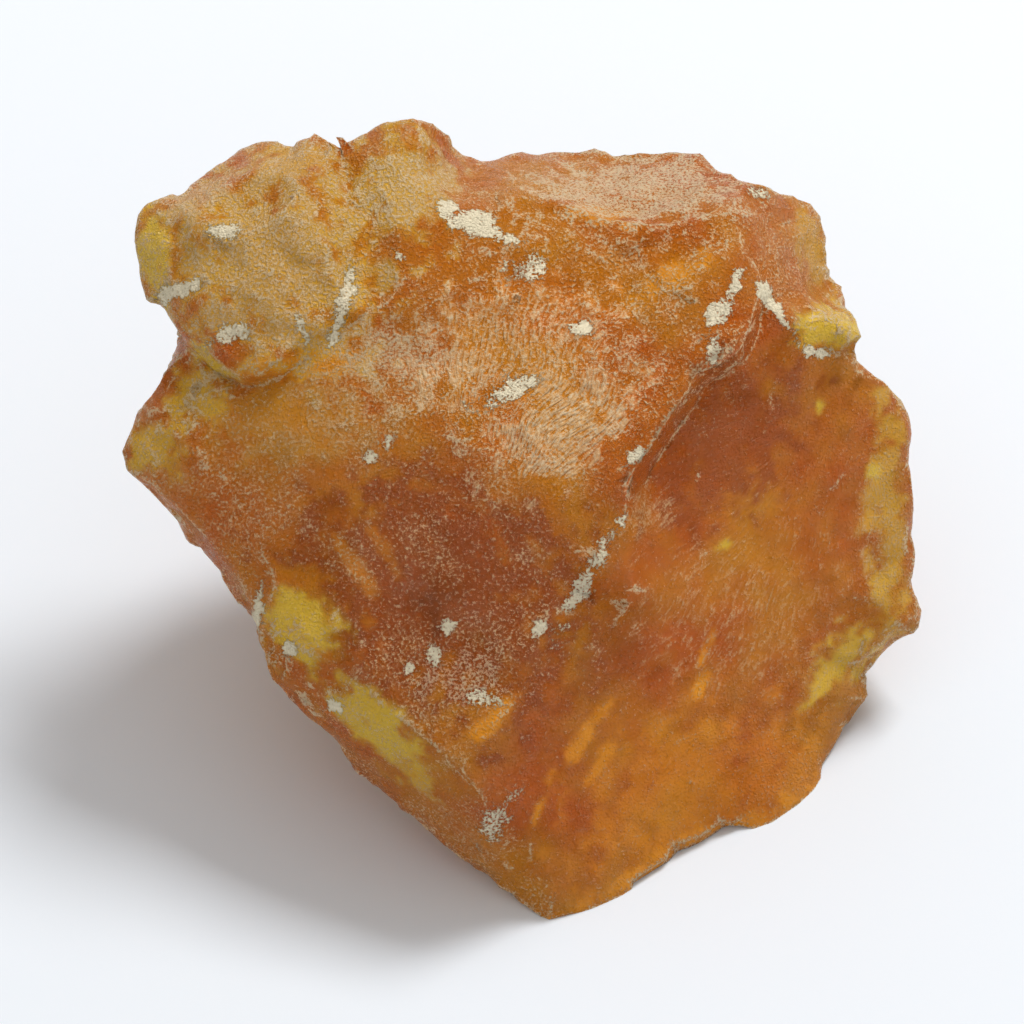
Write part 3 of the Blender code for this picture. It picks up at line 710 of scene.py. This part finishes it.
@dataclass
class Studio:
    """The pale table, the soft light and the camera.

    Attributes:
        floor_half_m: Half the table's side.
        window_bounces: How many times the window's light is followed on.
        window_place_m: The window's middle, from where it faces the origin.
        view_width_mm: How much the camera sees across, at the plan's centre.
        sensor_mm: The width of the camera's sensor.
        clip_m: How near and how far the camera sees.
    """

    floor_half_m: float = 1.5
    floor_tint: str = "E8F0FC"
    floor_roughness: float = 0.9
    sky_tint: str = "FFF9F0"
    sky_strength: float = 0.5
    window_tint: str = "FFFDF8"
    window_watts: float = 3.5
    window_bounces: int = 2
    window_size_m: Span = (0.26, 0.26)
    window_place_m: tuple[float, float, float] = (0.26, 0.34, 0.66)
    camera_distance_m: float = 1.0
    view_width_mm: float = 59.53
    sensor_mm: float = 36.0
    clip_m: Span = (0.01, 20.0)

    def table(self) -> bpy.types.Object:
        """Makes the pale table.

        Returns:
            The table.
        """
        mesh = bmesh.new()
        bmesh.ops.create_grid(mesh, x_segments=1, y_segments=1, size=self.floor_half_m)
        data = bpy.data.meshes.new("table")
        mesh.to_mesh(data)
        mesh.free()
        table = bpy.data.objects.new("table", data)
        bpy.context.scene.collection.objects.link(table)
        finish = bpy.data.materials.new("matt_white_paper")
        finish.use_nodes = True
        shader = finish.node_tree.nodes["Principled BSDF"]
        shader.inputs["Base Color"].default_value = linear(self.floor_tint)
        shader.inputs["Roughness"].default_value = self.floor_roughness
        data.materials.append(finish)
        return table

    def light(self) -> None:
        """Sets the soft sky, and one broad window high up behind the lump and to its right."""
        world = bpy.data.worlds.new("soft_sky")
        world.use_nodes = True
        sky = world.node_tree.nodes["Background"]
        sky.inputs["Color"].default_value = linear(self.sky_tint)
        sky.inputs["Strength"].default_value = self.sky_strength
        bpy.context.scene.world = world
        bpy.context.scene.view_settings.view_transform = "Standard"
        bpy.context.scene.view_settings.look = "Medium High Contrast"
        window = bpy.data.lights.new("window", "AREA")
        window.shape = "RECTANGLE"
        window.size, window.size_y = self.window_size_m
        window.energy = self.window_watts
        window.color = linear(self.window_tint)[:3]
        window.cycles.max_bounces = self.window_bounces
        holder = bpy.data.objects.new("window", window)
        bpy.context.scene.collection.objects.link(holder)
        holder.location = self.window_place_m
        holder.rotation_mode = "QUATERNION"
        holder.rotation_quaternion = holder.location.to_track_quat("Z", "Y")

    def camera(self) -> None:
        """Sets the camera square to the broad face, far off, with a long lens."""
        centre = Vector(PLAN_CENTRE_MM) * MM
        rise = math.radians(FACE_RISE_DEG)
        back = Vector((0.0, -math.cos(rise), math.sin(rise)))
        lens = bpy.data.cameras.new("camera")
        lens.sensor_width = self.sensor_mm
        lens.lens = self.sensor_mm * self.camera_distance_m / (self.view_width_mm * MM)
        lens.clip_start, lens.clip_end = self.clip_m
        camera = bpy.data.objects.new("camera", lens)
        bpy.context.scene.collection.objects.link(camera)
        camera.location = centre + back * self.camera_distance_m
        camera.rotation_mode = "QUATERNION"
        camera.rotation_quaternion = back.to_track_quat("Z", "Y")
        bpy.context.scene.camera = camera


def marks() -> dict[Mark, list[Patch]]:
    """Gives where the patches of each mark lie.

    Returns:
        The patches of each mark.
    """
    return {
        Mark.CHALK: [
            Patch(-9.9, 11.9, 2.2, 0.5, 75, 0.9),
            Patch(-12.2, 10.7, 1.0, 0.3, 110, 0.8),
            Patch(-2.4, 16.9, 2.5, 0.8, -22),
            Patch(-6.5, 14.9, 0.5, 0.45),
            Patch(0.9, 14.1, 1.3, 0.9, 20, 0.75),
            Patch(3.95, 10.7, 0.9, 0.45),
            Patch(-0.4, 7.1, 2.2, 0.8, 30, 0.9),
            Patch(-4.35, 5.2, 0.8, 0.35, 10),
            Patch(-7.2, 3.95, 0.75, 0.5, 20),
            Patch(-8.2, 3.2, 0.5, 0.4, 50),
            Patch(13.0, 13.2, 1.1, 0.6, 60),
            Patch(11.9, 11.7, 1.2, 0.8, 60),
            Patch(11.6, 9.7, 1.0, 0.6, 80, 0.8),
            Patch(14.7, 12.9, 1.0, 0.45, -60),
            Patch(15.6, 11.6, 2.3, 0.35, -55),
            Patch(17.9, 9.35, 0.9, 0.45),
            Patch(7.3, 3.5, 1.0, 0.4, 45),
            Patch(-16.7, 16.3, 1.3, 0.5, 0, 0.9),
            Patch(-19.3, 12.9, 1.3, 0.55, 20),
            Patch(-16.4, 10.2, 1.4, 0.7, 20, 0.9),
            Patch(-3.6, -6.7, 0.6, 0.45, 90),
            Patch(-4.5, -8.3, 1.0, 0.65, -40, 0.9),
            Patch(-5.9, -9.2, 0.45, 0.4),
            Patch(1.45, -6.9, 0.7, 0.5, 80),
            Patch(-1.6, -10.9, 1.0, 0.6, 0, 0.8),
            Patch(-13.1, -8.1, 0.6, 0.5, 90),
            Patch(-10.3, -11.3, 0.7, 0.4),
            Patch(-14.8, -5.5, 2.0, 0.4, 80),
            Patch(-0.9, -17.9, 1.9, 0.8, 60, 0.7),
            Patch(4.5, -3.7, 4.5, 0.6, 60, 0.8),
            Patch(14.4, 18.7, 0.9, 0.45, 0, 0.7),
        ],
        Mark.HONEY: [
            Patch(-20.9, 15.2, 3.2, 1.5, 90),
            Patch(-17.5, 8.7, 1.8, 0.55, -45),
            Patch(-18.4, 6.8, 2.6, 1.9, 60, 0.8),
            Patch(-21.0, 3.6, 2.2, 1.6, 0, 0.8),
            Patch(-12.3, -6.6, 2.8, 2.2, -50),
            Patch(-8.3, -12.1, 4.4, 1.4, -40),
            Patch(-7.1, -14.2, 3.8, 0.9, -40, 0.75),
            Patch(22.1, 0.1, 8.5, 1.3, 90, 0.6),
            Patch(19.4, -8.6, 2.9, 1.5, 50, 0.85),
            Patch(21.7, -4.0, 1.2, 0.8, 60, 0.7),
            Patch(18.6, 10.8, 2.3, 1.5),
            Patch(12.4, -1.9, 0.4, 0.35),
            Patch(21.1, 2.4, 0.6, 0.5),
            Patch(18.0, 6.2, 0.45, 0.25, 80),
            Patch(-13.2, 20.2, 3.4, 1.7, 20, 0.6),
            Patch(-14.0, 14.2, 8.0, 6.5, 0, 0.7),
            Patch(-6.5, 19.0, 3.6, 3.4, 60, 0.7),
            Patch(-12.5, 5.5, 6.5, 3.0, 0, 0.3),
            Patch(17.8, 15.0, 3.0, 1.0, -70, 0.5),
        ],
        # Painted light: bright orange where light shines out of flaws inside and through the bottom rim.
        Mark.GLOW: [
            Patch(-11.5, 8.7, 5.4, 1.2, 5, 0.9),
            Patch(-8.7, 13.8, 4.0, 0.6, 90, 0.8),
            Patch(5.1, 17.3, 2.6, 0.7, -10, 0.8),
            Patch(9.5, 13.9, 3.4, 0.9, 30, 0.8),
            Patch(-9.0, -3.4, 2.8, 0.5, -55, 0.6),
            Patch(-7.6, -1.9, 2.0, 0.4, -55, 0.5),
            Patch(-1.3, -12.2, 2.4, 0.7, 45, 0.9),
            Patch(4.0, -13.6, 3.4, 0.6, 56, 0.8),
            Patch(5.2, -14.6, 2.6, 0.45, 56, 0.7),
            Patch(11.0, -10.3, 1.6, 0.4, 65, 0.95),
            Patch(11.4, -8.0, 1.2, 0.25, 65, 0.8),
            Patch(1.6, -17.3, 1.4, 0.3, 70, 0.9),
            Patch(10.4, -20.0, 9.0, 1.0, 25, 0.8),
            Patch(11.8, -16.2, 8.5, 4.4, 20, 0.4),
        ],
        # Frost, whose pale colour is partly painted sheen and glints; on the top plateau it is a painted
        # reflection of the sky.
        Mark.FROST_AND_SHEEN: [
            Patch(1.0, 8.6, 11.5, 6.5, 8, 0.52),
            Patch(2.6, 4.6, 5.5, 3.2, 25, 0.75),
            Patch(-6.5, 9.0, 5.0, 3.2, 0, 0.8),
            Patch(7.4, 18.9, 7.0, 2.4, 0, 0.68),
            Patch(6.3, 14.9, 2.8, 1.4, 0, 0.55),
            Patch(13.3, -6.5, 8.5, 6.0, 0, 0.3),
            Patch(7.7, 0.1, 2.0, 1.9, 0, 0.5),
            Patch(21.5, -1.0, 6.5, 1.6, 90, 0.4),
            Patch(-18.0, 18.5, 3.4, 1.2, 20, 0.8),
            Patch(-13.5, 14.5, 8.0, 7.0, 0, 0.66),
            Patch(-6.0, 19.0, 3.6, 3.0, 0, 0.7),
            Patch(-9.0, 6.0, 6.0, 4.0, 0, 0.5),
            Patch(-3.3, -18.5, 4.4, 1.7, -45, 0.4),
            Patch(-16.0, 2.0, 3.6, 4.6, 0, 0.4),
            Patch(16.5, 14.5, 2.5, 4.0, 0, 0.35),
        ],
        Mark.HACKLE: [
            Patch(3.0, 4.9, 5.5, 3.4, 22, 0.9),
            Patch(0.5, 9.6, 7.0, 4.2, 5, 0.7),
            Patch(12.5, -2.5, 12.0, 8.5, 80, 0.5),
            Patch(8.0, -14.0, 9.0, 5.0, 50, 0.35),
            Patch(-6.0, -4.0, 6.0, 4.0, -40, 0.25),
        ],
        # Thick dark amber; the patches on the steep face beside the ridge are painted shade.
        Mark.DEEP: [
            Patch(-4.2, -4.5, 10.0, 8.0, -35, 0.9),
            Patch(12.5, 4.0, 6.5, 3.6, 50, 0.85),
            Patch(5.5, -8.5, 5.0, 2.0, 50, 0.5),
            Patch(12.1, 8.8, 2.0, 1.5, 60, 0.7),
        ],
        # Dust, partly painted glints; on the top plateau it is a painted reflection of the sky.
        Mark.DUST_AND_GLINTS: [
            Patch(7.4, 18.9, 8.0, 2.6, 0, 0.6),
            Patch(-6.5, 9.0, 4.5, 3.0, 0, 0.42),
            Patch(-7.0, 19.0, 3.5, 3.4, 0, 0.36),
            Patch(-3.4, -4.5, 10.0, 8.0, -35, 0.24),
            Patch(-3.0, -9.5, 3.5, 2.5, -10, 0.5),
            Patch(1.0, 8.6, 12.0, 7.0, 0, 0.36),
            Patch(2.6, 4.6, 5.0, 2.8, 25, 0.45),
            Patch(-14.0, 14.0, 8.0, 7.5, 0, 0.3),
        ],
    }


def main() -> None:
    """Builds the lump and the studio around it."""
    logging.basicConfig(level=logging.INFO, format="%(name)s: %(message)s")
    noise.seed_set(NOISE_SEED)
    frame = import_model()
    lump = AmberLump(patches=marks()).build(frame["nodes"][LUMP_NODE])
    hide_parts(LUMP_NODE)
    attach(lump, "root")
    log.info("lump: %d faces", len(lump.data.polygons))
    studio = Studio()
    studio.table()
    studio.light()
    studio.camera()


if __name__ == "__main__":
    main()
